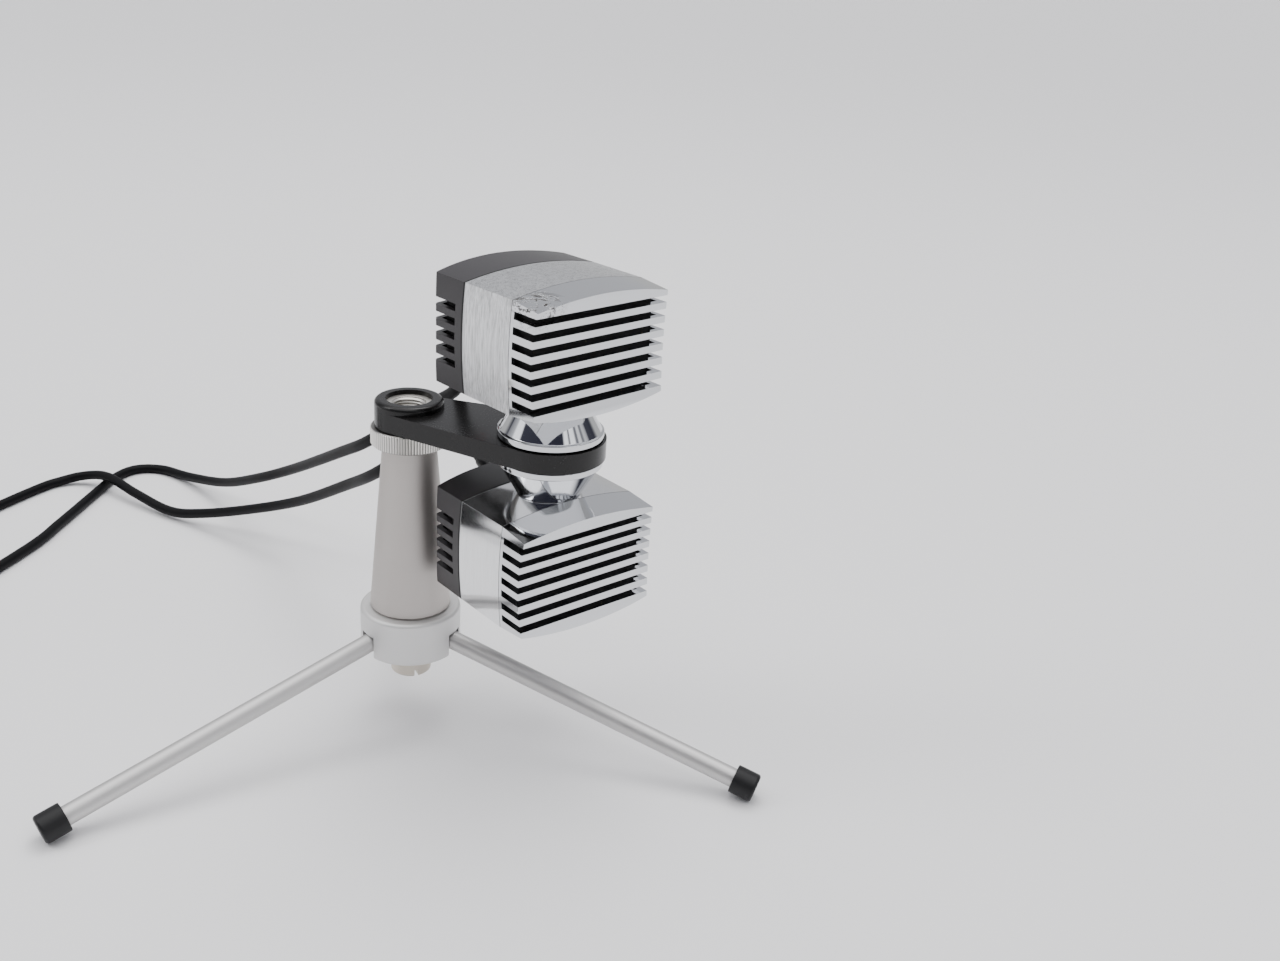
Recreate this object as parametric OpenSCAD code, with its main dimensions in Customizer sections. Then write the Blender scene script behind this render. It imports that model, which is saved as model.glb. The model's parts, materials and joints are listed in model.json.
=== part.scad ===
// Stereo microphone: two swivelling heads on one arm, on a folding table tripod.
// Sizes in millimetres, +Z up. The origin is on the table, in the middle of the stand's box.

/* [Tripod] */
// Radius of the hub that carries the legs
hub_r = 14.9; // [14:0.1:17]
// Height of the hub
hub_h = 13.8; // [13:0.1:16]
// Rounding of the hub's rims
hub_round = 1.2; // [0.4:0.1:2]
// Diameter of a leg rod
leg_d = 5.6; // [4:0.1:6]
// Distance from the column's axis to a leg pivot
pivot_r = 10; // [9.5:0.1:10.5]
// Distance from the column's axis to the middle of a foot's end face
foot_reach = 111.2; // [95:0.1:130]
// Slope of an unfolded leg, in degrees
leg_slope = 14.2; // [10:0.1:18]
// Height of the leg pivots above the hub's underside
pivot_up = 5.4; // [4:0.1:6]
// Diameter of a leg pivot pin
pin_d = 2; // [1.5:0.1:2.5]
// Length of a leg pivot pin
pin_len = 11; // [9:0.5:12]
// Diameter of a rubber foot
foot_d = 8.3; // [7.5:0.1:11]
// Length of a rubber foot
foot_len = 7; // [6:0.5:12]
// Rounding of a foot's end
foot_round = 0.9; // [0.4:0.1:1.5]
// Depth that the rod enters the foot
foot_socket = 5; // [4:0.5:5.5]
// Radius of the slotted screw head under the hub
screw_head_r = 6; // [5:0.1:6.2]
// Height of the screw head
screw_head_h = 8.8; // [6:0.1:10]
// Chamfer of the screw head's end
screw_edge = 0.5; // [0.2:0.1:1]
// Radius of the screw's shank
screw_r = 2.5; // [2:0.1:3]
// Length of the screw's shank inside the column
screw_grip = 7.5; // [5:0.5:10]
// Width of the slot in the screw head
screw_slot_w = 1.2; // [0.8:0.1:1.6]
// Depth of the slot in the screw head
screw_slot_d = 2.2; // [1:0.1:3]
// Direction of the slot, in degrees from +X
screw_turn = -75; // [-90:5:90]

/* [Column] */
// Radius of the column at its foot
column_foot_r = 12; // [11:0.1:13]
// Radius of the column at its top
column_top_r = 7.7; // [7:0.1:9]
// Height of the column
column_h = 51.6; // [45:0.1:80]
// Radius of the stud's shank inside the column
shank_r = 3; // [2.5:0.1:3.5]
// Length of the stud's shank
shank_len = 12; // [8:0.5:20]
// Radius of the stud in the lock ring and in the arm's bush
stud_r = 4.5; // [4.3:0.05:4.55]
// Radius of the knurled lock ring
ring_r = 11; // [10:0.1:12.5]
// Height of the lock ring
ring_h = 5.4; // [4:0.1:7]
// Chamfer of the lock ring's rims
ring_edge = 0.5; // [0.3:0.1:0.8]
// Number of knurls round the lock ring
knurls = 84; // [48:1:96]
// Depth of a knurl
knurl_depth = 0.35; // [0.2:0.05:0.5]

/* [Arm] */
// Thickness of the arm
arm_t = 5.5; // [4.5:0.1:7]
// Distance from the column's axis to the head joint
arm_reach = 44.2; // [43.5:0.1:50]
// Direction of the arm from the column, in degrees from +X
arm_dir = -32.1; // [-60:1:0]
// Radius of the arm's end at the column
boss_r = 9.8; // [9:0.1:11]
// Height that the boss stands above the arm
boss_up = 2.4; // [1.6:0.1:4]
// Rounding of the boss's rim
boss_round = 1.4; // [0.3:0.1:1.5]
// Radius of the hole that holds the threaded bush
bush_r = 6.6; // [6.2:0.1:7.2]
// Depth of the bush below the top of the boss
bush_sink = 2; // [1:0.1:2.4]
// Radius of the open thread in the bush, above the stud
thread_r = 4.75; // [4.7:0.05:4.9]
// Depth that the stud enters the bush
stud_entry = 2.5; // [2:0.1:3]
// Height of the groove between the stud's end and the open thread
relief_h = 0.9; // [0.8:0.1:1.2]
// Depth of that groove past the thread
relief = 0.4; // [0.3:0.1:0.6]
// Radius of the arm's end at the heads
eye_r = 15.3; // [15:0.1:17]
// Radius of the fixed axle that carries both heads
axle_r = 4; // [3.5:0.1:4.4]
// Outer radius of a friction washer
washer_r = 9; // [8:0.1:10]
// Thickness of a friction washer
washer_t = 1.1; // [0.8:0.1:1.4]
// Radius of a keeper ring on the axle
keeper_r = 5.2; // [5:0.1:5.4]
// Thickness of a keeper ring
keeper_t = 1; // [0.8:0.1:1.2]

/* [Heads] */
// Facing direction of the upper head, in degrees from +X
upper_face = -56.7; // [-80:1:-30]
// Facing direction of the lower head, in degrees from +X
lower_face = -59.9; // [-80:1:-30]
// Distance from the arm's mid-plane to the middle of a head
head_up = 30.7; // [30.5:0.1:36]
// Half the width of a head at its corners
half_w = 21.8; // [20:0.1:23]
// Half the height of a head at its corners
half_h = 15; // [14.5:0.1:16]
// Rise of the arched top and bottom
arch = 2.2; // [1:0.1:3]
// Bulge of the two sides
bulge = 0.85; // [0.3:0.05:1.2]
// Distance from the joint axis to the head's front lips
front_y = 19.4; // [18:0.1:21]
// Distance from the joint axis forward to the grille's seam
seam_y = 9.3; // [8.8:0.1:10.5]
// Distance from the joint axis back to the rear cover's seam
cover_y = 10.2; // [9.8:0.1:11.5]
// Depth of the rear cover
cover_depth = 14.5; // [13:0.1:15]
// Radius of the rear cover's upright corners
cover_corner = 2.2; // [1.8:0.1:4]
// Inward slope of the grille's top and bottom, in degrees
grille_slope = 6; // [0:0.5:8]
// Inward slope of the rear cover's four sides, in degrees
cover_slope = 0.5; // [0:0.5:4]
// Hollow of the concave front
front_hollow = 1.4; // [0.5:0.1:2]
// Swell of the rear face
rear_swell = 2; // [0.4:0.1:2.5]
// Wall of the grille
grille_wall = 1.5; // [1.2:0.1:2]
// Wall of the sleeve
sleeve_wall = 1.2; // [0.8:0.1:1.5]
// Wall of the rear cover
cover_wall = 1.6; // [1.2:0.1:2]
// Pitch of the slots, front and rear
slot_pitch = 3.83; // [3.4:0.01:4]
// Height of a slot
slot_h = 1.95; // [1.4:0.05:2.2]
// Number of slots in the front grille
front_slots = 7; // [5:2:7]
// Number of slots in the rear cover
rear_slots = 5; // [3:2:5]
// Solid rim of the grille between its slots and its seam
grille_rim = 1.1; // [0.8:0.1:2]
// Solid rim of the rear cover between its seam and its slots
cover_rim = 3.1; // [2.5:0.1:6]

/* [Inside a head] */
// Radius of the neck's flange
flange_r = 14.6; // [14:0.1:14.9]
// Height of the neck's flange
flange_h = 1.9; // [1.5:0.1:2.5]
// Chamfer of the flange's rims
flange_edge = 0.3; // [0.2:0.1:0.5]
// Step from the flange's rim to the foot of the neck's cone
cone_step = 0.6; // [0.5:0.1:1.5]
// Radius of the neck where it meets the head
neck_top_r = 8.9; // [8:0.1:10]
// Height of the neck's inner web above its open end
web_rise = 3.9; // [3.5:0.1:4.5]
// Radius of the hollow stud that ties the neck to the head
neck_stud_r = 4.5; // [4:0.1:5]
// Height of the nut inside the head
nut_h = 3; // [2:0.1:4]
// Width of the nut across its corners
nut_w = 13; // [11:0.5:14]
// Radius of the microphone capsule
capsule_r = 11; // [9:0.1:11.5]
// Length of the capsule
capsule_len = 15; // [10:0.5:17]
// Distance that the capsule stands out before the grille's seam
capsule_out = 3; // [2.5:0.1:4]
// Thickness of the baffle that holds the capsule
baffle_t = 2; // [1.5:0.1:3]
// Gap between the grille's wall and the dark cloth basket behind it
basket_gap = 0.5; // [0.3:0.1:1]
// Wall of the cloth basket
basket_wall = 0.6; // [0.4:0.1:1]
// Distance from the front lips back to the cloth basket's face
basket_back = 4.4; // [4:0.1:5]

/* [Cords] */
// Diameter of a cord
cord_d = 3.2; // [3:0.1:3.4]
// Downward or upward lean of a cord boot towards the neck, in degrees
boot_lean = 20; // [10:1:25]
// Radius of a boot at the head
boot_r = 2.9; // [2.6:0.1:3.2]
// Radius of a boot at its tip
boot_tip_r = 2.1; // [1.9:0.05:2.3]
// Chamfer of a boot's tip
boot_edge = 0.4; // [0.2:0.1:0.5]
// Depth of a boot's root below the cover's rear face
boot_root = 3; // [3:0.1:4]
// Height of a boot's root above the cover's low edge
boot_rise = 6.3; // [5.8:0.1:7]
// Distance from the joint axis to the tip of a boot
boot_reach = 33; // [32.5:0.1:34]
// Turns in a coil of spare cord
coil_turns = 10; // [6:1:12]
// Layers in a coil
coil_layers = 4; // [2:2:4]
// Radius of a coil at the middle of its turns
coil_r = 17.6; // [17:0.1:20]
// Gap between neighbouring turns
coil_gap = 0.7; // [0.6:0.05:1]
// Length of a plug's grip
grip_len = 34; // [28:1:40]
// Radius of a plug's grip
grip_r = 8; // [7.5:0.1:9]
// Length of the taper at a grip's tail
grip_taper = 13; // [10:0.5:16]
// Radius of a grip at its tail
grip_tail_r = 2.6; // [2.4:0.1:3.5]
// Chamfer of a grip's nose
grip_edge = 1; // [0.5:0.1:2]
// Outer radius of a plug's metal collar
collar_r = 6.6; // [6.4:0.1:6.8]
// Length of a plug's metal collar
collar_len = 9; // [8:0.5:10]
// Wall of a plug's metal collar
collar_wall = 0.6; // [0.4:0.1:1]
// Thickness of the floor that carries a plug's pins
collar_floor = 2; // [1:0.5:3]
// Distance from a plug's axis to its pins
pin_ring = 3.5; // [3:0.1:4]
// Radius of a plug's pin
pin_r = 0.75; // [0.5:0.05:0.9]

/* [Hidden] */
$fn = 64;
// Circle fineness of the wide arched faces
wide_fn = 240;
// Running clearance of a shaft in its bore, on the radius
run = 0.05;
// Clearance between pieces that move past each other
gap = 0.3;
// Axial clearance under and over the lock ring
ring_gap = 0.2;
// Extra length of a cutting solid past the face it cuts
cut = 1;
// Room between a head and the block that bounds it
margin = 5;

leg_r = leg_d / 2;
foot_r = foot_d / 2;
// Height of the middle of a foot's end face, with the foot's lower edge on the table
foot_z = foot_r * cos(leg_slope);
pivot_z = foot_z + (foot_reach - pivot_r) * tan(leg_slope);
// Length of a leg from its pivot to the foot's end face
leg_len = (foot_reach - pivot_r) / cos(leg_slope);
hub_z = pivot_z - pivot_up;
hub_top = hub_z + hub_h;
column_top = hub_top + column_h;
arm_z = column_top + ring_h + 2 * ring_gap;
arm_top = arm_z + arm_t;
boss_top = arm_top + boss_up;
arm_mid = arm_z + arm_t / 2;
bush_top = boss_top - bush_sink;
stud_top = arm_z + stud_entry;

// Legs stand at these directions, in degrees from +X
LEFT = 210;
RIGHT = 330;
REAR = 90;
// The box of the three feet puts the column's axis behind the origin's line
foot_out = foot_r * sin(leg_slope);
rear_extent = foot_reach + foot_out;
fore_extent = foot_reach * sin(30) + norm([foot_out * sin(30), foot_r * cos(30)]);
axis_y = -(rear_extent - fore_extent) / 2;

arch_r = (half_w * half_w + arch * arch) / (2 * arch);
bulge_r = (half_h * half_h + bulge * bulge) / (2 * bulge);
joint = [arm_reach * cos(arm_dir), axis_y + arm_reach * sin(arm_dir), arm_mid];
neck_z = arm_t / 2 + gap;
head_low = head_up - half_h - arch;
web_z = neck_z + web_rise;
keeper_z = web_z + run * 3;
stud_z = keeper_z + keeper_t + gap;
axle_half = keeper_z + keeper_t;
// The nut's corners stand on the sleeve's curved floor, so its middle is a little higher
nut_lift = nut_w * nut_w / (8 * (arch_r - sleeve_wall));

coil_pitch = cord_d + coil_gap;
turns_a_layer = coil_turns / coil_layers;
coil_out = coil_r + coil_pitch * turns_a_layer / 2;
coil_in = coil_r - coil_pitch * turns_a_layer / 2;
coil_steps = 24;
coil_sides = 6;
cord_sides = 8;
// Distance between the rings of a free cord
ring_step = 10;
cord_r = cord_d / 2;
lead = cord_d;

// Places a head's pieces: the head is drawn facing -Y, with z from the arm's mid-plane
module on_upper() translate(joint) rotate([0, 0, upper_face + 90]) children();
module on_lower() translate(joint) rotate([0, 0, lower_face + 90]) rotate([0, 180, 0]) children();
module on_stand() translate([0, axis_y, 0]) children();

// One leg, drawn along +X from its pivot, turned to its slope and direction
module leg_place(dir)
    on_stand() rotate([0, 0, dir]) translate([pivot_r, 0, pivot_z]) rotate([0, leg_slope, 0]) children();

module leg(dir) color("silver") leg_place(dir)
    difference() {
        union() {
            rotate([0, 90, 0]) cylinder(r = leg_r, h = leg_len - foot_len + foot_socket);
            sphere(r = leg_r);
        }
        rotate([90, 0, 0]) cylinder(d = pin_d + 2 * run, h = leg_d + 2 * cut, center = true);
    }

module foot(dir) color("#222222") leg_place(dir)
    translate([leg_len - foot_len, 0, 0]) rotate([0, 90, 0]) difference() {
        rotate_extrude() difference() {
            square([foot_r, foot_len]);
            translate([foot_r - foot_round, foot_len - foot_round]) difference() {
                square(foot_round + cut);
                circle(r = foot_round);
            }
        }
        translate([0, 0, -cut]) cylinder(r = leg_r, h = foot_socket + cut);
    }

// Side view of the room that a leg needs in the hub, from unfolded to hanging straight down
module leg_room() {
    r = leg_r + gap;
    corner = r * tan(22.5);
    polygon([[-r, -hub_h], [-r, corner], [-corner, r], [r * tan(leg_slope / 2), r],
        [hub_r, r / cos(leg_slope) - hub_r * tan(leg_slope)], [hub_r, -hub_h]]);
}

module hub() color("#d8d8d8") on_stand() difference() {
    translate([0, 0, hub_z]) rotate_extrude() {
        square([hub_r - hub_round, hub_h]);
        translate([0, hub_round]) square([hub_r, hub_h - 2 * hub_round]);
        for (z = [hub_round, hub_h - hub_round]) translate([hub_r - hub_round, z]) circle(r = hub_round);
    }
    for (dir = [LEFT, RIGHT, REAR]) rotate([0, 0, dir]) translate([pivot_r, 0, pivot_z]) {
        rotate([90, 0, 0]) linear_extrude(height = leg_d + 2 * gap, center = true) leg_room();
        rotate([90, 0, 0]) cylinder(d = pin_d, h = pin_len, center = true);
    }
    translate([0, 0, hub_z - cut]) cylinder(r = screw_r, h = hub_h + 2 * cut);
}

module leg_pins() color("gray") on_stand()
    for (dir = [LEFT, RIGHT, REAR]) rotate([0, 0, dir]) translate([pivot_r, 0, pivot_z])
        rotate([90, 0, 0]) cylinder(d = pin_d, h = pin_len, center = true);

module hub_screw() color("#c9c4b8") on_stand() difference() {
    union() {
        translate([0, 0, hub_z - screw_head_h]) rotate_extrude() polygon([[0, 0],
            [screw_head_r - screw_edge, 0], [screw_head_r, screw_edge], [screw_head_r, screw_head_h],
                [0, screw_head_h]]);
        translate([0, 0, hub_z]) cylinder(r = screw_r, h = hub_h + screw_grip);
    }
    rotate([0, 0, screw_turn])
        translate([-screw_head_r - cut, -screw_slot_w / 2, hub_z - screw_head_h - cut])
        cube([2 * screw_head_r + 2 * cut, screw_slot_w, cut + screw_slot_d]);
}

module column() color("#c8c4bc") on_stand() difference() {
    translate([0, 0, hub_top]) cylinder(r1 = column_foot_r, r2 = column_top_r, h = column_h);
    translate([0, 0, hub_top - cut]) cylinder(r = screw_r, h = cut + screw_grip + gap);
    translate([0, 0, column_top - shank_len - gap]) cylinder(r = shank_r + run, h = shank_len + gap + cut);
}

// Outline of the knurled edge, a V groove at each pitch
function knurl_outline() = [for (i = [0 : 2 * knurls - 1])
    (ring_r - (i % 2) * knurl_depth) * [cos(180 * i / knurls), sin(180 * i / knurls)]];

module lock_ring() color("#cfcabf") on_stand() translate([0, 0, column_top + ring_gap]) difference() {
    intersection() {
        linear_extrude(height = ring_h) polygon(knurl_outline());
        rotate_extrude() polygon([[0, 0], [ring_r - ring_edge, 0], [ring_r + cut, ring_edge + cut],
            [ring_r + cut, ring_h - ring_edge - cut], [ring_r - ring_edge, ring_h], [0, ring_h]]);
    }
    translate([0, 0, -cut]) cylinder(r = stud_r, h = ring_h + 2 * cut);
}

module stud() color("#c0c0c0") on_stand() {
    translate([0, 0, column_top + ring_gap]) cylinder(r = stud_r, h = stud_top - column_top - ring_gap);
    translate([0, 0, column_top - shank_len]) cylinder(r = shank_r, h = shank_len + ring_gap);
}

// Plan of the arm beside its boss: the round eye, joined to the boss by their tangents
module arm_plan() {
    lean = acos((boss_r - eye_r) / arm_reach);
    translate([arm_reach, 0]) circle(r = eye_r);
    polygon([boss_r * [cos(lean), sin(lean)], boss_r * [cos(lean), -sin(lean)],
        [arm_reach, 0] + eye_r * [cos(lean), -sin(lean)], [arm_reach, 0] + eye_r * [cos(lean), sin(lean)]]);
}

module arm() color("#1c1c1e") on_stand() translate([0, 0, arm_z]) difference() {
    union() {
        rotate([0, 0, arm_dir]) linear_extrude(height = arm_t) arm_plan();
        rotate_extrude() difference() {
            square([boss_r, arm_t + boss_up]);
            translate([boss_r - boss_round, arm_t + boss_up - boss_round]) difference() {
                square(boss_round + cut);
                circle(r = boss_round);
            }
        }
    }
    translate([0, 0, -cut]) cylinder(r = bush_r, h = arm_t + boss_up + 2 * cut);
    rotate([0, 0, arm_dir]) translate([arm_reach, 0, -cut]) cylinder(r = axle_r, h = arm_t + 2 * cut);
}

module arm_bush() color("#d9d6cf") on_stand() translate([0, 0, arm_z]) difference() {
    cylinder(r = bush_r, h = bush_top - arm_z);
    translate([0, 0, -cut]) cylinder(r = stud_r + run, h = stud_entry + 2 * cut);
    translate([0, 0, stud_entry]) cylinder(r = thread_r + relief, h = relief_h);
    translate([0, 0, stud_entry]) cylinder(r = thread_r, h = bush_top - arm_z);
}

module axle() color("#9a9a9a") translate(joint) cylinder(r = axle_r, h = 2 * axle_half, center = true);

module washer() color("#b08d57") difference() {
    translate([0, 0, arm_t / 2]) cylinder(r = washer_r, h = washer_t);
    translate([0, 0, arm_t / 2 - cut]) cylinder(r = axle_r, h = washer_t + 2 * cut);
}

module keeper() color("#8a8a8a") translate([0, 0, keeper_z]) difference() {
    cylinder(r = keeper_r, h = keeper_t);
    translate([0, 0, -cut]) cylinder(r = axle_r, h = keeper_t + 2 * cut);
}

// A wide arched solid: its crest lies on z = top at y = 0 and slopes down towards +Y. It is long
// enough that its own tilted ends stay clear of the form it bounds
module arched_slab(top, slope, radius, reach)
    translate([0, 0, top]) rotate([-slope, 0, 0]) translate([0, 0, -radius])
        rotate([90, 0, 0]) cylinder(r = radius, h = 2 * (reach + half_w), center = true, $fn = wide_fn);

// Head-shaped barrel from y = 0 to y = len, inset by a wall, sloping in on top and sides
module head_form(len, inset, slope_v, slope_h) intersection() {
    arched_slab(half_h + arch - inset, slope_v, arch_r, len);
    rotate([0, 180, 0]) arched_slab(half_h + arch - inset, slope_v, arch_r, len);
    rotate([0, 90, 0]) arched_slab(half_w + bulge - inset, slope_h, bulge_r, len);
    rotate([0, -90, 0]) arched_slab(half_w + bulge - inset, slope_h, bulge_r, len);
    translate([-half_w - margin, 0, -half_h - margin])
        cube([2 * (half_w + margin), len, 2 * (half_h + margin)]);
}

module slots(count, from_y, to_y)
    for (i = [0 : count - 1])
        translate([-half_w - margin, from_y, (i - (count - 1) / 2) * slot_pitch - slot_h / 2])
            cube([2 * (half_w + margin), to_y - from_y, slot_h]);

module grille() color("#dcdde0") translate([0, -seam_y, head_up]) rotate([0, 0, 180]) {
    depth = front_y - seam_y;
    hollow_r = (half_h * half_h + front_hollow * front_hollow) / (2 * front_hollow);
    difference() {
        head_form(depth, 0, grille_slope, 0);
        translate([0, -cut, 0])
            head_form(depth - front_hollow - grille_wall + cut, grille_wall, grille_slope, 0);
        translate([0, depth - front_hollow + hollow_r, 0]) rotate([0, 90, 0])
            cylinder(r = hollow_r, h = 3 * half_w, center = true, $fn = wide_fn);
        slots(front_slots, grille_rim, depth + cut);
    }
}

module sleeve() color("#c9cacc") translate([0, -seam_y, head_up]) difference() {
    head_form(seam_y + cover_y, 0, 0, 0);
    translate([0, -cut, 0]) head_form(seam_y + cover_y + 2 * cut, sleeve_wall, 0, 0);
    translate([0, seam_y, -half_h - arch - cut]) cylinder(r = neck_stud_r, h = sleeve_wall + arch + cut);
}

// Plan of the rear cover, round at its two rear corners and slightly swelled
module cover_plan(inset) {
    swell_r = (half_w * half_w + rear_swell * rear_swell) / (2 * rear_swell);
    w = half_w + bulge + cut;
    mid_w = half_w + bulge - cover_corner;
    corner_y = cover_depth - swell_r + sqrt(swell_r * swell_r - mid_w * mid_w) - cover_corner;
    intersection() {
        translate([0, cover_depth - inset - swell_r]) circle(r = swell_r, $fn = wide_fn);
        union() {
            translate([-w, -cut]) square([2 * w, corner_y + cut]);
            translate([-mid_w, 0]) square([2 * mid_w, cover_depth - inset]);
            for (s = [-1, 1]) translate([s * mid_w, corner_y]) circle(r = cover_corner - inset);
        }
    }
}

module cover_form(inset) intersection() {
    translate([0, inset > 0 ? -cut : 0, 0])
        head_form(cover_depth + 2 * cut, inset, cover_slope, cover_slope);
    translate([0, 0, -half_h - arch]) linear_extrude(height = 2 * (half_h + arch)) cover_plan(inset);
}

// Where the boot leaves the cover: in the head's frame, on the neck side of the rear face
boot_y = cover_y + cover_depth - boot_root;
boot_z = head_low + boot_rise;
boot_len = (boot_reach - boot_y) / cos(boot_lean);
// Straight part of the boot inside the wall, and the flange that stops it pulling out
boot_grip = 4.2;
boot_flange = 0.8;
module boot_place() translate([0, boot_y, boot_z]) rotate([-90 - boot_lean, 0, 0]) children();

module cover() color("#3a3634") difference() {
    translate([0, cover_y, head_up]) difference() {
        cover_form(0);
        cover_form(cover_wall);
        slots(rear_slots, cover_rim, cover_depth + cut);
    }
    boot_place() cylinder(r = boot_r, h = cover_depth);
}

module boot(tint) color(tint) boot_place() rotate_extrude() polygon([[0, -boot_flange],
    [boot_r + boot_flange, -boot_flange], [boot_r + boot_flange, 0], [boot_r, 0], [boot_r, boot_grip],
    [boot_tip_r, boot_len - boot_edge], [boot_tip_r - boot_edge, boot_len], [0, boot_len]]);

module neck() color("#e4e6ea") difference() {
    rotate_extrude() polygon([[0, neck_z],
        [flange_r - flange_edge, neck_z], [flange_r, neck_z + flange_edge], [flange_r,
            neck_z + flange_h - flange_edge], [flange_r - flange_edge, neck_z + flange_h],
        [flange_r - cone_step, neck_z + flange_h], [neck_top_r, head_low + cut], [0, head_low + cut]]);
    translate([0, 0, neck_z - cut]) cylinder(r = washer_r + gap, h = cut + washer_t);
    translate([0, 0, neck_z]) cylinder(r = axle_r + run, h = head_low);
    translate([0, 0, web_z]) cylinder(r = keeper_r + gap, h = head_low);
    translate([0, -seam_y, head_up]) head_form(seam_y + cover_y, 0, 0, 0);
}

module neck_stud() color("#a8a8a8") {
    translate([0, 0, stud_z]) cylinder(r = keeper_r + gap, h = head_low - stud_z);
    translate([0, 0, head_low]) cylinder(r = neck_stud_r, h = sleeve_wall + nut_lift + nut_h + cut);
}

module neck_nut() color("#a8a8a8") translate([0, 0, head_low + sleeve_wall + nut_lift]) difference() {
    cylinder(d = nut_w, h = nut_h, $fn = 6);
    translate([0, 0, -cut]) cylinder(r = neck_stud_r, h = nut_h + 2 * cut);
}

module baffle() color("#2b2b2b") translate([0, -seam_y, head_up]) difference() {
    head_form(baffle_t, sleeve_wall, 0, 0);
    translate([0, -cut, 0]) rotate([-90, 0, 0]) cylinder(r = capsule_r, h = baffle_t + 2 * cut);
}

module capsule() color("#7c7f84") translate([0, -seam_y - capsule_out, head_up]) rotate([-90, 0, 0])
    cylinder(r = capsule_r, h = capsule_len);

module cloth() color("#141414") translate([0, -seam_y, head_up]) rotate([0, 0, 180]) {
    depth = front_y - seam_y - basket_back;
    inset = grille_wall + basket_gap;
    difference() {
        head_form(depth, inset, grille_slope, 0);
        translate([0, -cut, 0]) head_form(depth - basket_wall + cut, inset + basket_wall, grille_slope, 0);
    }
}

// Tube of a given radius swept along points, closed at both ends
function tangent(p, i) = let (n = len(p), d = p[min(i + 1, n - 1)] - p[max(i - 1, 0)]) d / norm(d);
function side_of(t) = let (s = cross(t, [0, 0, 1])) s / norm(s);
function ring_at(p, i, r, sides) = let (t = tangent(p, i), s = side_of(t), u = cross(s, t))
    [for (k = [0 : sides - 1]) p[i] + r * (cos(360 * k / sides) * s + sin(360 * k / sides) * u)];
module tube(p, r, sides) {
    n = len(p);
    pts = [for (i = [0 : n - 1]) each ring_at(p, i, r, sides)];
    walls = [for (i = [0 : n - 2], k = [0 : sides - 1])
        let (a = i * sides + k, b = i * sides + (k + 1) % sides)
            each [[a, a + sides, b], [b, a + sides, b + sides]]];
    start = [for (k = [1 : sides - 2]) [0, k, k + 1]];
    last = (n - 1) * sides;
    end = [for (k = [1 : sides - 2]) [last, last + k + 1, last + k]];
    polyhedron(points = pts, faces = concat(walls, start, end));
}

// Smooth curve through chosen points, with a ring at every step
function blend(a, b, c, d, t) = 0.5 * ((2 * b) + (c - a) * t + (2 * a - 5 * b + 4 * c - d) * t * t
    + (3 * b - a - 3 * c + d) * t * t * t);
function smooth(p, step) = let (n = len(p)) concat([p[0]],
    [for (i = [0 : n - 2]) let (m = max(1, round(norm(p[i + 1] - p[i]) / step)), a = p[max(i - 1, 0)],
        b = p[i], c = p[i + 1], d = p[min(i + 2, n - 1)])
        for (k = [1 : m]) blend(a, b, c, d, k / m)]);

// Spiral coil: in and out again layer by layer, climbing in the half turn where it reverses
function climb(x) = let (c = min(max(x, 0), 1)) c * c * (3 - 2 * c);
function coil_level(t) = cord_r + coil_pitch
    * (coil_layers < 2 ? 0 :
        sum([for (j = [1 : coil_layers - 1]) climb((t - j * turns_a_layer + 0.25) / 0.5)]));
function sum(v, i = 0) = i < len(v) ? v[i] + sum(v, i + 1) : 0;
function coil_radius(t) = let (k = min(floor(t / turns_a_layer), coil_layers - 1), u = t / turns_a_layer - k)
    k % 2 == 0 ? coil_out + (coil_in - coil_out) * u : coil_in + (coil_out - coil_in) * u;
function coil_point(c, start, sense, t) = let (a = start + sense * 360 * t)
    [c[0] + coil_radius(t) * cos(a), c[1] + coil_radius(t) * sin(a), coil_level(t)];
// Direction of travel on the outer turn at an angle
function travel(a, sense) = sense * [-sin(a), cos(a), 0];
// Where the free cord meets the coil
function coil_start(c, start, sense) = coil_point(c, start, sense, 0) - travel(start, sense) * lead;
// The tail leaves the top layer and comes down to the height of the plug's axis
tail_len = 34;
function coil_tail(c, start, sense) = let (a = start + sense * 360 * coil_turns,
        p = coil_point(c, start, sense, coil_turns), d = travel(a, sense), drop = p[2] - grip_r)
    [for (i = [1 : 5]) let (u = i / 5) p + d * tail_len * u - [0, 0, drop * climb(u)]];
function coil_path(c, start, sense) = concat([coil_start(c, start, sense)],
    [for (i = [0 : coil_turns * coil_steps]) coil_point(c, start, sense, i / coil_steps)],
    coil_tail(c, start, sense), [coil_plug(c, start, sense)]);
function coil_plug(c, start, sense) =
    let (a = start + sense * 360 * coil_turns, t = coil_tail(c, start, sense))
    t[4] + travel(a, sense) * lead;
function path_length(p, i = 0) = i < len(p) - 1 ? norm(p[i + 1] - p[i]) + path_length(p, i + 1) : 0;
// Least clear space between turns, measured between points of the centre line that lie apart along it
apart = 9;
function least_gap(p) =
    min([for (i = [0 : len(p) - 1], j = [i + apart : 1 : len(p) - 1]) norm(p[i] - p[j])]) - cord_d;

// Tip of each boot, and the direction in which its cord leaves
function upper_spot(y, z) = let (a = upper_face) joint + [-cos(a) * y, -sin(a) * y, z];
function lower_spot(y, z) = let (a = lower_face) joint + [-cos(a) * y, -sin(a) * y, -z];
tip_z = boot_z - boot_len * sin(boot_lean);
cord_gap = 0.4;
function out_y(s) = boot_reach + (cord_gap + s) * cos(boot_lean);
function out_z(s) = tip_z - (cord_gap + s) * sin(boot_lean);

// Routes of the free cords, chosen by hand: out of the boot, down, then over the table
upper_centre = [-182, 42];
upper_start = -14;
lower_centre = [-206, 100];
lower_start = -40;
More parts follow.
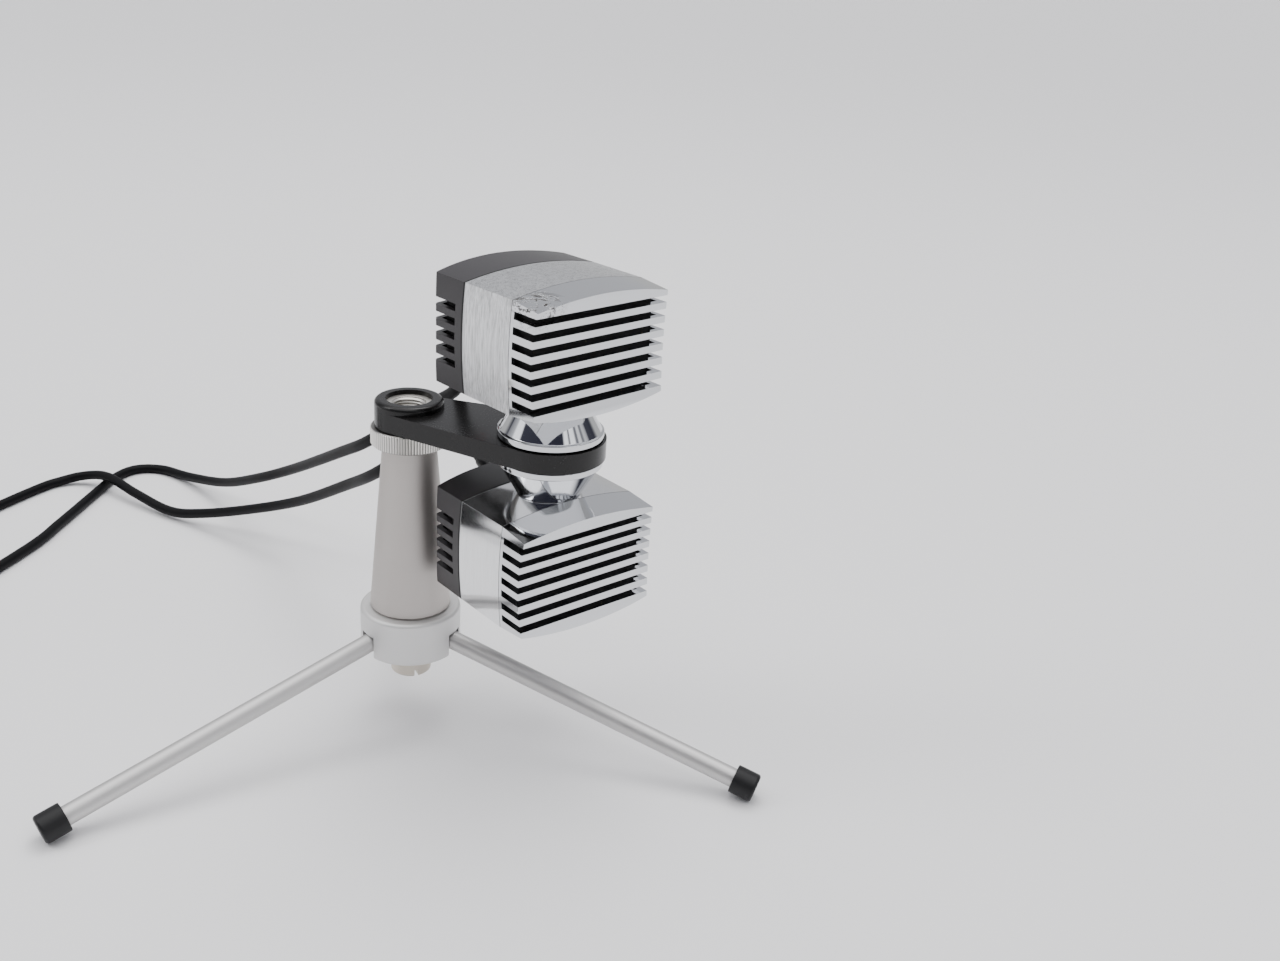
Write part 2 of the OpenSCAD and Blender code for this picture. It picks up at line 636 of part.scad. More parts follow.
// Straight runs out of a boot and into a coil
out_run = 5;
in_run = 9;
upper_route = concat([upper_spot(out_y(0), out_z(0)), upper_spot(out_y(out_run), out_z(out_run))],
    [[14, -12, 101], [8, -2, 93], [-2, 11, 82], [-13, 24, 70], [-21, 41, 60], [-40, 84, 36], [-56, 108, 22],
     [-72, 132, 10], [-89, 154, 3], [-102, 166, 1.6], [-113, 166, 1.6], [-120, 156, 1.6], [-124, 142, 1.6],
     [-132, 112, 1.6], [-138, 92, 1.6]],
    [coil_start(upper_centre, upper_start, -1) - travel(upper_start, -1) * in_run,
     coil_start(upper_centre, upper_start, -1)]);
lower_route = concat([lower_spot(out_y(0), out_z(0)), lower_spot(out_y(out_run), out_z(out_run))],
    [[12, -10, 84], [4, 1, 78], [-10, 17, 62], [-20, 40, 48], [-38, 72, 28], [-58, 94, 15], [-78, 110, 6],
     [-92, 120, 2.5], [-107, 134, 4], [-120, 148, 5.3], [-130, 155, 3.5], [-140, 154, 1.7], [-150, 143,
         1.6]],
    [coil_start(lower_centre, lower_start, -1) - travel(lower_start, -1) * in_run,
     coil_start(lower_centre, lower_start, -1)]);

module free_cord(route) color("#161616") tube(smooth(route, ring_step), cord_r, cord_sides);
module coil(c, start) color("#161616") tube(coil_path(c, start, -1), cord_r, coil_sides);

// Round plug with a metal collar and three pins, drawn along +Z from its tail
module plug(c, start) {
    a = start - 360 * coil_turns;
    d = travel(a, -1);
    color("#1a1a1a") translate(coil_plug(c, start, -1)) rotate([0, 0, atan2(d[1], d[0])]) rotate([0,
        90, 0]) {
        rotate_extrude() polygon([[0, 0], [grip_tail_r, 0], [1.4 * grip_tail_r, 0.6 * grip_taper],
            [0.8 * grip_r, 0.77 * grip_taper], [grip_r, grip_taper], [grip_r, grip_len - grip_edge],
            [grip_r - grip_edge, grip_len], [0, grip_len]]);
        translate([0, 0, grip_len]) difference() {
            cylinder(r = collar_r, h = collar_len);
            translate([0, 0, collar_floor]) cylinder(r = collar_r - collar_wall, h = collar_len);
        }
        for (k = [0 : 2]) rotate([0, 0, 90 * k]) translate([pin_ring, 0, grip_len + collar_floor - cut])
            cylinder(r = pin_r, h = collar_len - collar_floor, $fn = 24);
    }
}

echo(axis_y = axis_y, joint = joint, hub_z = hub_z, hub_top = hub_top, column_top = column_top,
    arm_z = arm_z, boss_top = boss_top, bush_top = bush_top);
echo(plug_upper = coil_plug(upper_centre, upper_start, -1), plug_lower = coil_plug(lower_centre,
    lower_start, -1),
    heading_upper = travel(upper_start - 360 * coil_turns, -1),
    heading_lower = travel(lower_start - 360 * coil_turns, -1),
    cords_apart = min([for (a = smooth(upper_route, 3), b = smooth(lower_route, 3)) norm(a - b)]) - cord_d);
echo(upper_gap = least_gap(coil_path(upper_centre, upper_start, -1)),
    coil_length = path_length(coil_path(upper_centre, upper_start, -1)),
    upper_free = path_length(smooth(upper_route, ring_step)), upper_rings = len(smooth(upper_route,
        ring_step)),
    lower_free = path_length(smooth(lower_route, ring_step)), lower_rings = len(smooth(lower_route,
        ring_step)));

hub();
column();
hub_screw();
leg_pins();
leg(LEFT);  // leg_left
foot(LEFT);  // foot_left
leg(RIGHT);  // leg_right
foot(RIGHT);  // foot_right
leg(REAR);  // leg_rear
foot(REAR);  // foot_rear
lock_ring();
stud();
arm();
arm_bush();
axle();
on_upper() washer();  // upper_washer
on_lower() washer();  // lower_washer
on_upper() keeper();  // upper_keeper
on_lower() keeper();  // lower_keeper
on_upper() neck();  // upper_neck
on_upper() neck_stud();  // upper_neck_stud
on_upper() neck_nut();  // upper_neck_nut
on_upper() sleeve();  // upper_sleeve
on_upper() grille();  // upper_grille
on_upper() cloth();  // upper_cloth
on_upper() baffle();  // upper_baffle
on_upper() capsule();  // upper_capsule
on_upper() cover();  // upper_cover
on_upper() boot("#8c2a2a");  // upper_boot
on_lower() neck();  // lower_neck
on_lower() neck_stud();  // lower_neck_stud
on_lower() neck_nut();  // lower_neck_nut
on_lower() sleeve();  // lower_sleeve
on_lower() grille();  // lower_grille
on_lower() cloth();  // lower_cloth
on_lower() baffle();  // lower_baffle
on_lower() capsule();  // lower_capsule
on_lower() cover();  // lower_cover
on_lower() boot("#1a1a1a");  // lower_boot
free_cord(upper_route);  // upper_cord
coil(upper_centre, upper_start);  // upper_coil
plug(upper_centre, upper_start);  // upper_plug
free_cord(lower_route);  // lower_cord
coil(lower_centre, lower_start);  // lower_coil
plug(lower_centre, lower_start);  // lower_plug
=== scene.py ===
# %% [markdown]
# # A stereo microphone on a folding table stand
#
# Two like microphone heads sit above and below a black arm, and a small tripod carries them. The solids
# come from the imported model, which fixes every size, place and joint. This lesson dresses them: it gives
# each piece the edges, the finish and the fine detail that the real one has, and lays the two cords.
#
# A reader who is learning Blender can run it cell by cell. Everything is in metres, and the packed
# model's frame is Blender's own: the table is at height zero and +Z points up.

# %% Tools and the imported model
import json
import math

import bmesh
import bpy
from mathutils import Matrix, Vector


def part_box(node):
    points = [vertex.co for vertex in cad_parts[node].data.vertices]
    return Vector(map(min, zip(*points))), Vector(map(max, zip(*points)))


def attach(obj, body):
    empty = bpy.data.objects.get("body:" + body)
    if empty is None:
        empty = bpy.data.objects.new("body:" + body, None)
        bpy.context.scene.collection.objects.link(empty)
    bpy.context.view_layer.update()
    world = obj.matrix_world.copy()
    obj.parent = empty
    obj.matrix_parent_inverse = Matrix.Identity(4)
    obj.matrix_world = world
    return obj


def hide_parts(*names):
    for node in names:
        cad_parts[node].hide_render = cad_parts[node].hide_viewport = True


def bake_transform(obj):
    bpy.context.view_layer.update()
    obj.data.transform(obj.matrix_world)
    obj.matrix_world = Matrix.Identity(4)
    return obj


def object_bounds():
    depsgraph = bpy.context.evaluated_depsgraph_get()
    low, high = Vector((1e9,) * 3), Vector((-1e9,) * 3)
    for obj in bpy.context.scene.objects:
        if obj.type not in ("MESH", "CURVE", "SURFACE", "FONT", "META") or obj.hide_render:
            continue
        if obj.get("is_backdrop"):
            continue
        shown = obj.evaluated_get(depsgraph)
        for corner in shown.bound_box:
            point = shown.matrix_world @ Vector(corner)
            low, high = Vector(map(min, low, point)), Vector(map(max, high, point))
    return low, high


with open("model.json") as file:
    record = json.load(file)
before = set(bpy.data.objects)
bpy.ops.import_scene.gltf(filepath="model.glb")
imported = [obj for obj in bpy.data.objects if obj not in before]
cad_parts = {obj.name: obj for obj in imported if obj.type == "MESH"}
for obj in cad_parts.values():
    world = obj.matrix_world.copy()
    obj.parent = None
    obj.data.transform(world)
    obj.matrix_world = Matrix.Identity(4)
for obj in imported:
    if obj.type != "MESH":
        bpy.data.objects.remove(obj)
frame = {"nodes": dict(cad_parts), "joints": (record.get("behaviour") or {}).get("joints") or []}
cad_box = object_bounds()
MM = 0.001

# %% [markdown]
# ## The camera
#
# The photograph was taken from a little above, with the camera turned slightly and rolled a little to
# one side. One camera was fitted to the scale card, the stand and both heads, so its numbers are real:
# a position, three turns and a focal length. A camera in Blender looks along its own -Z, so it is first
# tipped up to look ahead, and then turned.

# %% Camera
CAMERA_PLACE = Vector((-5.6, -381.45, 230.3)) * MM
CAMERA_TURN = 11.7
CAMERA_PITCH = 22.943
CAMERA_ROLL = 3.846
FOCAL_PIXELS = 1314.6
PHOTO_WIDTH = 1280
SENSOR_WIDTH = 36


def place_camera():
    """The camera at the photograph's place, with the photograph's field of view."""
    data = bpy.data.cameras.new("camera")
    data.sensor_fit = "HORIZONTAL"
    data.sensor_width = SENSOR_WIDTH
    data.lens = SENSOR_WIDTH * FOCAL_PIXELS / PHOTO_WIDTH
    data.clip_start = 0.01
    data.clip_end = 100
    camera = bpy.data.objects.new("camera", data)
    bpy.context.scene.collection.objects.link(camera)
    turn = Matrix.Rotation(math.radians(-CAMERA_TURN), 4, "Z")
    pitch = Matrix.Rotation(math.radians(90 - CAMERA_PITCH), 4, "X")
    roll = Matrix.Rotation(math.radians(CAMERA_ROLL), 4, "Z")
    camera.matrix_world = Matrix.Translation(CAMERA_PLACE) @ turn @ pitch @ roll
    bpy.context.scene.camera = camera
    return camera


print("lens:", round(place_camera().data.lens, 2), "mm")

# %% [markdown]
# ## Where the heads stand
#
# Each head is easiest to think of in its own frame: it faces -Y, +X is to its left and +Z points away
# from the arm. The lower head is the same thing turned over. A matrix takes points from that frame to
# the model's, and the joint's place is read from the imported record.

# %% The heads' own frames
UPPER_FACE = -56.7
LOWER_FACE = -59.9
JOINTS = {j["name"]: j for j in frame["joints"]}
JOINT = Vector(JOINTS["upper_head_turn"]["pos_m"])
HEAD_TURN = {"upper": math.radians(UPPER_FACE + 90), "lower": math.radians(LOWER_FACE + 90)}
HEAD_PLACE = {
    "upper": Matrix.Translation(JOINT) @ Matrix.Rotation(HEAD_TURN["upper"], 4, "Z"),
    "lower": Matrix.Translation(JOINT)
    @ Matrix.Rotation(HEAD_TURN["lower"], 4, "Z")
    @ Matrix.Rotation(math.pi, 4, "Y"),
}
STAND_AXIS = Vector((0, JOINTS["arm_turn"]["pos_m"][1], 0))

# %% [markdown]
# ## The cords' route
#
# Each head has its own thin black lead. It leaves the rear cover through a boot, droops, passes over the
# rear leg and runs off to the left. A lead of about 1.5 m is usual, and the photograph shows only its
# first quarter, so the rest lies coiled on the table beyond the left edge of the view. The points of the
# free stretch are given in millimetres, and a smooth curve goes through them. The coil comes
# from a formula: it spirals in and out again, and climbs a layer each time it turns back.

# %% Points of the free stretches, in millimetres
CORD_D = 3.8
ROUTES = {
    "upper": [
        (14, -12, 101), (8, -2, 93), (-2, 11, 82), (-13, 24, 70), (-21, 41, 60), (-40, 84, 36),
        (-56, 108, 22), (-72, 132, 10), (-89, 154, 3.3), (-102, 166, 1.9), (-113, 166, 1.9),
        (-120, 156, 1.9), (-124, 142, 1.9), (-132, 112, 1.9), (-138, 92, 1.9),
    ],
    "lower": [
        (12, -10, 84), (4, 1, 78), (-10, 17, 62), (-20, 40, 48), (-38, 72, 28), (-58, 94, 15),
        (-78, 110, 6.3), (-92, 120, 3), (-107, 134, 4.7), (-120, 148, 6.2), (-130, 155, 4.1),
        (-140, 154, 2.1), (-150, 143, 1.9),
    ],
}
COIL_CENTRE = {"upper": (-182, 42), "lower": (-206, 100)}
COIL_START = {"upper": -14, "lower": -40}

# %% Boots: where each cord leaves its head
HEAD_UP = 30.7
HALF_H = 15
ARCH = 2.2
HALF_W = 21.8
HEAD_LOW = HEAD_UP - HALF_H - ARCH
ARCH_R = (HALF_W**2 + ARCH**2) / (2 * ARCH)
BOOT_Y = 21.7
BOOT_RISE = 6.3
BOOT_LEAN = 20
BOOT_REACH = 33
BOOT_LENGTH = (BOOT_REACH - BOOT_Y) / math.cos(math.radians(BOOT_LEAN))
BOOT_FRAME = Matrix.Translation(Vector((0, BOOT_Y, HEAD_LOW + BOOT_RISE)) * MM) @ Matrix.Rotation(
    math.radians(-90 - BOOT_LEAN), 4, "X"
)
EXIT_RUN = 5.4


def boot_point(head, along):
    """The point on a boot's axis, a distance from its root in millimetres, in the model's frame."""
    return HEAD_PLACE[head] @ BOOT_FRAME @ Vector((0, 0, along * MM))


# %% A smooth curve through chosen points
STEP = 3.0


def smooth(points, step=STEP):
    """Points every few millimetres on a smooth curve through the given ones."""
    made = [points[0]]
    last = len(points) - 1
    for i in range(last):
        a, b = points[max(i - 1, 0)], points[i]
        c, d = points[i + 1], points[min(i + 2, last)]
        count = max(1, round((c - b).length / step))
        for k in range(1, count + 1):
            t = k / count
            bend = 2 * a - 5 * b + 4 * c - d
            twist = 3 * b - a - 3 * c + d
            made.append(0.5 * (2 * b + (c - a) * t + bend * t**2 + twist * t**3))
    return made


# %% The coil, by formula
TURNS = 10
LAYERS = 4
COIL_R = 17.6
COIL_GAP = 0.15
COIL_PITCH = CORD_D + COIL_GAP
TURNS_A_LAYER = TURNS / LAYERS
SWING = COIL_PITCH * TURNS_A_LAYER / 2
STEPS_A_TURN = 24
LEAD = CORD_D
RUN_IN = 9
TAIL = 34
PLUG_R = 8.0


def climb(x):
    """A soft step from 0 to 1."""
    x = min(max(x, 0), 1)
    return x * x * (3 - 2 * x)


def travel(degrees):
    """The way a clockwise coil runs at an angle."""
    a = math.radians(degrees)
    return Vector((math.sin(a), -math.cos(a), 0))


def coil_point(head, turns):
    """A point of the coil after some turns, in millimetres."""
    layer = min(int(turns // TURNS_A_LAYER), LAYERS - 1)
    share = turns / TURNS_A_LAYER - layer
    radius = COIL_R + SWING * (1 - 2 * share if layer % 2 == 0 else 2 * share - 1)
    risen = sum(climb((turns - j * TURNS_A_LAYER + 0.25) / 0.5) for j in range(1, LAYERS))
    a = math.radians(COIL_START[head] - 360 * turns)
    x, y = COIL_CENTRE[head]
    return Vector((x + radius * math.cos(a), y + radius * math.sin(a), CORD_D / 2 + COIL_PITCH * risen))


def coil(head):
    """The coil's points, from where the free stretch meets it to the tail of the plug."""
    points = [coil_point(head, i / STEPS_A_TURN) for i in range(TURNS * STEPS_A_TURN + 1)]
    way = travel(COIL_START[head] - 360 * TURNS)
    top = points[-1]
    drop = top.z - PLUG_R
    tail = [top + way * TAIL * i / 5 - Vector((0, 0, drop * climb(i / 5))) for i in range(1, 6)]
    return points + tail + [tail[-1] + way * LEAD]


def cord_path(head):
    """One cord's whole path in metres, and the heading of its plug."""
    start = coil_point(head, 0) - travel(COIL_START[head]) * LEAD
    near = [boot_point(head, BOOT_LENGTH) / MM, boot_point(head, BOOT_LENGTH + EXIT_RUN) / MM]
    free = near + [Vector(p) for p in ROUTES[head]] + [start - travel(COIL_START[head]) * RUN_IN, start]
    points = smooth(free) + coil(head)
    return [p * MM for p in points], travel(COIL_START[head] - 360 * TURNS)


def length_of(points):
    """Length along a row of points."""
    return sum((b - a).length for a, b in zip(points, points[1:]))


CORD_PATHS = {head: cord_path(head) for head in ("upper", "lower")}
for head, (points, heading) in CORD_PATHS.items():
    print(head, "cord:", round(length_of(points), 4), "m in", len(points), "points")

# %% [markdown]
# ## Writing materials as sums
#
# A material in Blender is a graph of nodes. Long graphs are hard to read as code, so a small class wraps
# a socket and lets Python's own operators add the Math nodes: `1 - mask * 0.3` reads as what it does. One
# method adds any other node, with its settings and its sockets.


# %% A socket that works in sums
class Wire:
    """An output socket in a graph that Python's operators work on."""

    def __init__(self, graph, socket):
        self.graph = graph
        self.socket = socket

    def maths(self, operation, *values):
        return self.graph.add("ShaderNodeMath", {"operation": operation}, dict(enumerate(values)))

    def __add__(self, other):
        return self.maths("ADD", self, other)

    def __mul__(self, other):
        return self.maths("MULTIPLY", self, other)

    def __sub__(self, other):
        return self.maths("SUBTRACT", self, other)

    def __rsub__(self, other):
        return self.maths("SUBTRACT", other, self)

    def __truediv__(self, other):
        return self.maths("DIVIDE", self, other)

    __radd__ = __add__
    __rmul__ = __mul__

    def size(self):
        return self.maths("ABSOLUTE", self)

    def over(self, low, high):
        """0 below low, 1 above high, and a soft step between."""
        sockets = {0: self, 1: low, 2: high}
        return self.graph.add("ShaderNodeMapRange", {"interpolation_type": "SMOOTHSTEP"}, sockets)


# %% Graphs and finishes
class Graph:
    """A graph of nodes under construction, for a material or for the sky."""

    def __init__(self, owner):
        owner.use_nodes = True
        self.tree = owner.node_tree
        self.tree.nodes.clear()

    def join(self, socket, value):
        """Sets a socket, or links a wire to it."""
        if isinstance(value, Wire):
            self.tree.links.new(value.socket, socket)
        elif socket.type == "RGBA":
            socket.default_value = (*value, 1)
        else:
            socket.default_value = value

    def add(self, kind, settings, sockets, output=0):
        """Any node: its settings first, and then its sockets by number or name."""
        node = self.tree.nodes.new(kind)
        for key, value in settings.items():
            if key == "stops":
                ramp = node.color_ramp.elements
                while len(ramp) < len(value):
                    ramp.new(0)
                for stop, (spot, colour) in zip(ramp, value):
                    stop.position, stop.color = spot, (*colour, 1)
            else:
                setattr(node, key, value)
        for key, value in sockets.items():
            self.join(node.inputs[key], value)
        return Wire(self, node.outputs[output] if node.outputs else None)

    def mix(self, share, first, second):
        """One colour turning into another."""
        sockets = {0: share, 6: first, 7: second}
        return self.add("ShaderNodeMix", {"data_type": "RGBA"}, sockets, 2)


class Finish(Graph):
    """A material under construction, with its Principled shader."""

    def __init__(self, name, **fixed):
        self.material = bpy.data.materials.new(name)
        super().__init__(self.material)
        self.shader = self.tree.nodes.new("ShaderNodeBsdfPrincipled")
        output = self.tree.nodes.new("ShaderNodeOutputMaterial")
        self.tree.links.new(self.shader.outputs[0], output.inputs[0])
        for key, value in fixed.items():
            self.feed(key.replace("_", " ").title().replace("Ior", "IOR"), value)

    def feed(self, name, value):
        """Sets one of the shader's sockets, or links a wire to it."""
        self.join(self.shader.inputs[name], value)

    def place(self, scale=(1, 1, 1), turn=0.0, centre=(0, 0, 0)):
        """Object coordinates, seen in a frame that is turned about Z and centred, then stretched."""
        coords = self.add("ShaderNodeTexCoord", {}, {}, "Object")
        sockets = {"Vector": coords, "Location": centre, "Rotation": (0, 0, turn)}
        local = self.add("ShaderNodeMapping", {"vector_type": "TEXTURE"}, sockets)
        return self.add("ShaderNodeMapping", {}, {"Vector": local, "Scale": scale})

    def in_head(self, head, stretch=(1, 1, 1), turn=0.0):
        """Object coordinates in a head's own frame, apart from which way up it is."""
        return self.place(stretch, HEAD_TURN[head] + turn, JOINT)

    def seam(self, head, place, width):
        """A mask for painted shade: 1 along the line where two shells of a head meet, at a distance behind
        the joint's axis.
        """
        back = self.add("ShaderNodeSeparateXYZ", {}, {0: self.in_head(head)}, 1)
        return 1 - (back - place * MM).size().over(0.4 * width * MM, width * MM)

    def noise(self, where, scale, detail=3.0, rough=0.5):
        """Noise from 0 to 1 with so many bumps to the metre."""
        sockets = {"Vector": where, "Scale": scale, "Detail": detail, "Roughness": rough}
        return self.add("ShaderNodeTexNoise", {}, sockets, 0)

    def bump(self, height, distance):
        """Relief, of a depth in metres."""
        self.feed("Normal", self.add("ShaderNodeBump", {}, {"Height": height, "Distance": distance}))


# %% [markdown]
# ## Metals
#
# Four metals show side by side, and each tells itself apart by how it scatters light. The stand is cast
# and turned aluminium with a dull bead-blasted skin, and the lock ring's knurls get painted shade in
# their grooves. The legs are drawn rods, so their streaks run lengthwise. The sleeves are brushed
# upright, and the grilles and necks are bright chrome over a smooth moulding. In each, roughness and a
# very small relief carry the look, and colour changes little apart from that painted shade.


# %% Stand metals
def blasted(name, colour, rough):
    """Bead-blasted aluminium: a fine even grain and faint cloudiness."""
    finish = Finish(name, metallic=1.0)
    grain = finish.noise(finish.place(), 5200, 2.0, 0.6)
    cloud = finish.noise(finish.place(), 90, 3.0)
    finish.feed("Base Color", finish.mix(cloud * 0.5 + grain * 0.35, [c * 0.86 for c in colour], colour))
    finish.feed("Roughness", grain * 0.12 + cloud * 0.06 + (rough - 0.09))
    finish.bump(grain, 0.000012)
    return finish.material


def drawn(name, colour, rough, direction):
    """Drawn rod: streaks along its length, which runs out from the hub and down."""
    finish = Finish(name, metallic=1.0)
    streaks = finish.noise(finish.place((0.02, 1, 1), math.radians(direction)), 2600, 2.0)
    grain = finish.noise(finish.place(), 3000, 2.0)
    finish.feed("Base Color", finish.mix(streaks, [c * 0.92 for c in colour], colour))
    finish.feed("Roughness", streaks * 0.1 + grain * 0.08 + (rough - 0.09))
    finish.bump(streaks, 0.0000008)
    return finish.material


def turned_metal(name, colour, rough):
    """Metal from the lathe: fine rings round its axis, seen as bands of height."""
    finish = Finish(name, metallic=1.0)
    rings = finish.noise(finish.place((0.05, 0.05, 1)), 5200, 2.0)
    finish.feed("Base Color", finish.mix(rings, [c * 0.86 for c in colour], colour))
    finish.feed("Roughness", rings * 0.14 + (rough - 0.07))
    finish.bump(rings, 0.000006)
    return finish.material


def knurled(name, colour, rough, axis, low, high):
    """Metal with painted shade in its grooves, which lie nearer the axis than its outer radius."""
    finish = Finish(name, metallic=1.0)
    flat = finish.place((1, 1, 0), 0.0, axis)
    radius = finish.add("ShaderNodeVectorMath", {"operation": "LENGTH"}, {0: flat}, 1)
    grain = finish.noise(finish.place(), 5200, 2.0, 0.6)
    # Painted shade: the grooves' colour falls to three tenths of the metal's.
    groove_shade = 1 - radius.over(low * MM, high * MM)
    finish.feed("Base Color", finish.mix(groove_shade, colour, [c * 0.3 for c in colour]))
    finish.feed("Roughness", grain * 0.12 + (rough - 0.06))
    return finish.material


COLUMN_METAL = blasted("column_metal", (0.60, 0.565, 0.54), 0.56)
HUB_METAL = blasted("hub_metal", (0.80, 0.795, 0.79), 0.6)
GROOVE_R, RIDGE_R = 10.62, 10.9
RING_METAL = knurled("ring_metal", (0.76, 0.74, 0.71), 0.36, STAND_AXIS, GROOVE_R, RIDGE_R)
SCREW_METAL = turned_metal("screw_metal", (0.60, 0.55, 0.48), 0.38)
BUSH_METAL = turned_metal("bush_metal", (0.76, 0.74, 0.70), 0.42)
STEEL = turned_metal("steel", (0.42, 0.42, 0.43), 0.34)
BRASS = turned_metal("washer_brass", (0.62, 0.47, 0.24), 0.34)
LEG_DIRECTIONS = {"left": 210, "right": 330, "rear": 90}
LEG_METAL = {
    side: drawn("leg_metal_" + side, (0.62, 0.61, 0.605), 0.54, direction)
    for side, direction in LEG_DIRECTIONS.items()
}
print("stand metals:", len(bpy.data.materials))


# %% Chrome
SCUFF_AT = Vector((-18.5, -14.5, HEAD_UP + HALF_H)) * MM
SCUFF_CORE, SCUFF_REACH = 3 * MM, 8.5 * MM


def chrome(name, head=None, worn=0.0):
    """Bright chrome with faint wipe marks and, where it is worn, a few dark pits and scratches."""
    finish = Finish(name, metallic=1.0)
    wiped = finish.noise(finish.place((1, 1, 0.3)), 160, 3.0)
    colour = (0.66, 0.67, 0.69)
    if worn:
        local = finish.in_head(head)
        apart = finish.add("ShaderNodeVectorMath", {"operation": "DISTANCE"}, {0: local, 1: SCUFF_AT}, 1)
        near = 1 - apart.over(SCUFF_CORE, SCUFF_REACH)
        cuts = finish.noise(finish.in_head(head, (1, 0.16, 1), 0.6), 760, 4.0, 0.7)
        pits = finish.noise(local, 700, 3.0, 0.6)
        marks = near * (cuts.over(0.53, 0.58) + pits.over(0.59, 0.63)) * worn
        finish.feed("Base Color", finish.mix(marks, colour, (0.06, 0.055, 0.05)))
        finish.feed("Roughness", wiped * 0.05 + marks * 0.4 + 0.03)
        finish.bump(1 - marks, 0.00004)
    else:
        finish.feed("Base Color", colour)
        finish.feed("Roughness", wiped * 0.05 + 0.03)
    return finish.material


GRILLE_CHROME = {"upper": chrome("grille_chrome_upper", "upper", 1.0), "lower": chrome("grille_chrome_lower")}
NECK_CHROME = chrome("neck_chrome")
print("materials with chrome:", len(bpy.data.materials))

# %% Brushed sleeves
FRONT_SEAM = -9.3
REAR_SEAM = 10.2
# Colour of the painted shade in the seams between a head's shells.
SEAM_SHADE_COLOUR = (0.008, 0.008, 0.008)


def brushed(name, head, strength, rough, colour):
    """Aluminium sheet brushed upright on its sides, with painted shade in a line where it meets its
    neighbours.
    """
    finish = Finish(name)
    upright = finish.in_head(head, (1, 1, 0.03))
    lines = finish.noise(upright, 4600, 3.0, 0.65)
    broad = finish.noise(upright, 900, 2.0)
    grain = lines * 0.75 + broad * 0.25
    # Painted shade: a near-black line along the seams with the grille and the cover.
    seam_shades = finish.seam(head, FRONT_SEAM, 0.3) + finish.seam(head, REAR_SEAM, 0.55)
    metal = finish.mix(grain.over(0.34, 0.62), [c * (1 - 0.5 * strength) for c in colour], colour)
    finish.feed("Base Color", finish.mix(seam_shades, metal, SEAM_SHADE_COLOUR))
    finish.feed("Metallic", 1 - seam_shades)
    finish.feed("Roughness", grain * 0.2 * strength + seam_shades * 0.4 + (rough - 0.1 * strength))
    finish.bump(grain, 0.000016 * strength)
    return finish.material


SLEEVE_METAL = {
    "upper": brushed("sleeve_metal_upper", "upper", 1.0, 0.30, (0.78, 0.785, 0.795)),
    "lower": brushed("sleeve_metal_lower", "lower", 0.2, 0.09, (0.80, 0.805, 0.815)),
}

# %% [markdown]
# ## Plastics, rubber and the dark cloth
#
# The arm is glossy moulded plastic, whose top mirrors the pale background a little. The rear covers are
# a dark grey-brown with a fine moulded texture, and a line of painted shade marks where they meet the
# sleeves. The cords and the feet are dull. Behind the slots lies a near-black cloth whose threads catch a
# little brown and green.


# %% Plastics and rubber
def moulded(name, colour, rough, texture, depth, shine=0.5):
    """Moulded plastic or rubber with a fine skin."""
    finish = Finish(name, metallic=0.0, specular_ior_level=shine)
    skin = finish.noise(finish.place(), texture, 3.0)
    cloud = finish.noise(finish.place(), 120, 2.0)
    finish.feed("Base Color", finish.mix(cloud, [c * 0.8 for c in colour], colour))
    finish.feed("Roughness", skin * 0.08 + cloud * 0.04 + (rough - 0.06))
    finish.bump(skin, depth)
    return finish.material


ARM_PLASTIC = moulded("arm_plastic", (0.010, 0.0095, 0.0095), 0.26, 2600, 0.000002, 0.3)
DARK_PLASTIC = moulded("dark_plastic", (0.02, 0.02, 0.02), 0.5, 3000, 0.00001)
FOOT_RUBBER = moulded("foot_rubber", (0.007, 0.007, 0.008), 0.5, 2400, 0.00001, 0.32)
CORD_BLACK = moulded("cord_black", (0.004, 0.004, 0.005), 0.5, 1500, 0.000003, 0.12)
PLUG_BLACK = moulded("plug_black", (0.02, 0.02, 0.02), 0.38, 3000, 0.00001)
BOOT_RED = moulded("boot_red", (0.26, 0.022, 0.02), 0.35, 2400, 0.000008)
BOOT_BLACK = moulded("boot_black", (0.015, 0.015, 0.016), 0.4, 2400, 0.000008)
CAPSULE_METAL = blasted("capsule_metal", (0.30, 0.31, 0.33), 0.4)


# %% Cover plastic
def cover_skin(name, head):
    """The rear cover's dark plastic: a fine moulded skin, and painted shade in a line at its seam."""
    finish = Finish(name, specular_ior_level=0.36)
    skin = finish.noise(finish.place(), 4200, 3.0)
    cloud = finish.noise(finish.place(), 120, 2.0)
    # Painted shade: a black line along the seam with the sleeve.
    seam = finish.seam(head, REAR_SEAM, 0.45)
    plastic = finish.mix(cloud, (0.021, 0.019, 0.021), (0.027, 0.024, 0.026))
    finish.feed("Base Color", finish.mix(seam, plastic, (0.002, 0.002, 0.002)))
    finish.feed("Roughness", skin * 0.08 + seam * 0.4 + 0.3)
    finish.bump(skin, 0.000008)
    return finish.material


COVER_PLASTIC = {head: cover_skin("cover_plastic_" + head, head) for head in HEAD_PLACE}

# %% Dark cloth
THREADS = 900


def woven(name, head):
    """Fine black cloth: crossing threads, and a few flecks where a thread catches the light."""
    finish = Finish(name, metallic=0.0)
    local = finish.in_head(head)
    across, upright = (
        finish.add("ShaderNodeTexWave", {"bands_direction": way}, {"Vector": local, "Scale": THREADS}, 1)
        for way in ("X", "Z")
    )
    weave = across * 0.5 + upright * 0.5
    flecks = finish.noise(local, 1500, 2.0).over(0.62, 0.72)
    patches = finish.noise(local, 260, 2.0).over(0.45, 0.65)
    base = finish.mix(weave, (0.004, 0.004, 0.004), (0.014, 0.014, 0.015))
    finish.feed("Base Color", finish.mix(flecks * patches * 0.7, base, (0.085, 0.075, 0.035)))
    finish.feed("Roughness", 0.85)
    finish.bump(weave, 0.00005)
    return finish.material


DARK_CLOTH = {head: woven("dark_cloth_" + head, head) for head in HEAD_PLACE}
print("materials in all:", len(bpy.data.materials))

